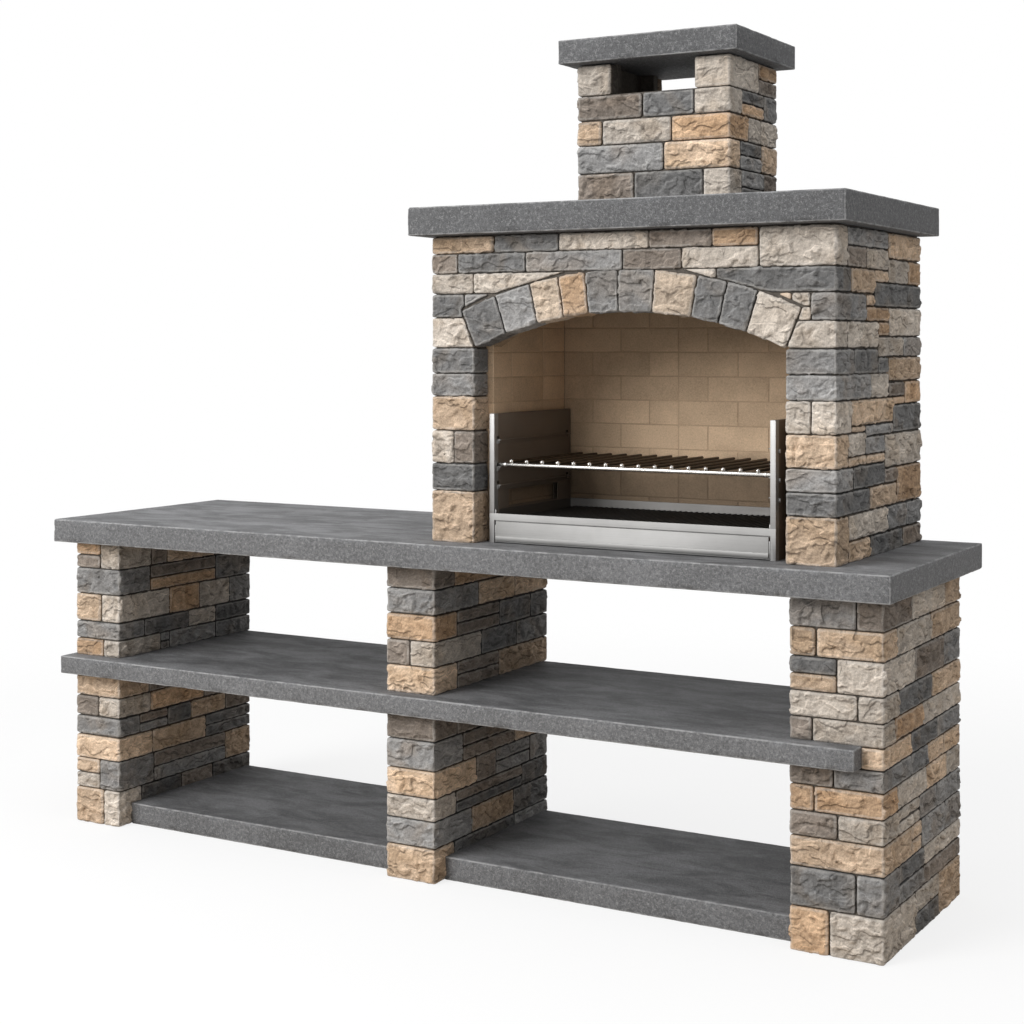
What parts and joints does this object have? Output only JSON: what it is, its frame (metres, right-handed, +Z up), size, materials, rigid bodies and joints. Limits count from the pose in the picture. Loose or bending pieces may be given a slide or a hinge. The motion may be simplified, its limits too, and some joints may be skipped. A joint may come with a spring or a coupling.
{
  "type": "stone garden barbecue",
  "caption": "Free-standing garden barbecue of split stone piers and cast slabs, with an arched firebrick hearth, a sliding grill insert, storage bays and a short chimney.",
  "frame": {"origin": "on the ground, under the middle of the worktop's outline", "axes": "+X to the right along the front, +Y from front to back, +Z up"},
  "size_m": [2.545, 0.75, 2.21],
  "materials": {
    "charcoal_stone": "split face, dull",
    "grey_stone": "split face, dull",
    "cream_stone": "split face, dull",
    "buff_stone": "split face, dull",
    "honey_stone": "split face, dull",
    "brown_stone": "split face, dull",
    "arch_stone": "split face, mixed colours",
    "cast_concrete": "smooth cast top, lightly flecked edges",
    "mortar_core": "rough",
    "firebrick": "fine grained, unglazed",
    "stainless_sheet": "brushed",
    "grate_steel": "polished rod",
    "blackened_bars": "blackened"
  },
  "bodies": {
    "masonry": {"arch_backing": "mortar_core", "arch_voussoirs": "arch_stone", "base_slab_left": "cast_concrete", "base_slab_right": "cast_concrete", "chimney_brown_stones": "brown_stone", "chimney_buff_stones": "buff_stone", "chimney_cap": "cast_concrete", "chimney_charcoal_stones": "charcoal_stone", "chimney_cream_stones": "cream_stone", "chimney_grey_stones": "grey_stone", "chimney_honey_stones": "honey_stone", "chimney_liner": "mortar_core", "firebrick_back": "firebrick", "firebrick_left": "firebrick", "firebrick_right": "firebrick", "grate_rails": "stainless_sheet", "grill_base": "stainless_sheet", "grill_left_panel": "stainless_sheet", "grill_right_panel": "stainless_sheet", "hearth_back_core": "mortar_core", "hearth_brown_stones": "brown_stone", "hearth_buff_stones": "buff_stone", "hearth_charcoal_stones": "charcoal_stone", "hearth_cream_stones": "cream_stone", "hearth_grey_stones": "grey_stone", "hearth_honey_stones": "honey_stone", "hearth_left_core": "mortar_core", "hearth_right_core": "mortar_core", "left_pier_brown_stones": "brown_stone", "left_pier_buff_stones": "buff_stone", "left_pier_charcoal_stones": "charcoal_stone", "left_pier_core": "mortar_core", "left_pier_cream_stones": "cream_stone", "left_pier_grey_stones": "grey_stone", "left_pier_honey_stones": "honey_stone", "mantel_slab": "cast_concrete", "middle_pier_brown_stones": "brown_stone", "middle_pier_buff_stones": "buff_stone", "middle_pier_charcoal_stones": "charcoal_stone", "middle_pier_core": "mortar_core", "middle_pier_cream_stones": "cream_stone", "middle_pier_grey_stones": "grey_stone", "middle_pier_honey_stones": "honey_stone", "middle_shelf": "cast_concrete", "panel_bolts": "stainless_sheet", "right_pier_brown_stones": "brown_stone", "right_pier_buff_stones": "buff_stone", "right_pier_charcoal_stones": "charcoal_stone", "right_pier_core": "mortar_core", "right_pier_cream_stones": "cream_stone", "right_pier_grey_stones": "grey_stone", "right_pier_honey_stones": "honey_stone", "worktop": "cast_concrete"},
    "ash_drawer": {"ash_drawer_pan": "stainless_sheet", "ash_drawer_front": "stainless_sheet"},
    "charcoal_tray": {"charcoal_tray": "stainless_sheet", "charcoal_grate_bars": "blackened_bars"},
    "cooking_grate": {"cooking_grate_rods": "grate_steel", "cooking_grate_bars": "grate_steel", "cooking_grate_collars": "grate_steel"}
  },
  "joints": [
    {"name": "ash_drawer_slide", "type": "slide", "parent": "masonry", "child": "ash_drawer", "axis": [0, -1, 0], "range_m": [0, 0.3]},
    {"name": "charcoal_tray_lift", "type": "slide", "parent": "masonry", "child": "charcoal_tray", "axis": [0, 0, 1], "range_m": [0, 0.045]},
    {"name": "cooking_grate_slide", "type": "slide", "parent": "masonry", "child": "cooking_grate", "axis": [0, -1, 0], "range_m": [0, 0.34]}
  ]
}
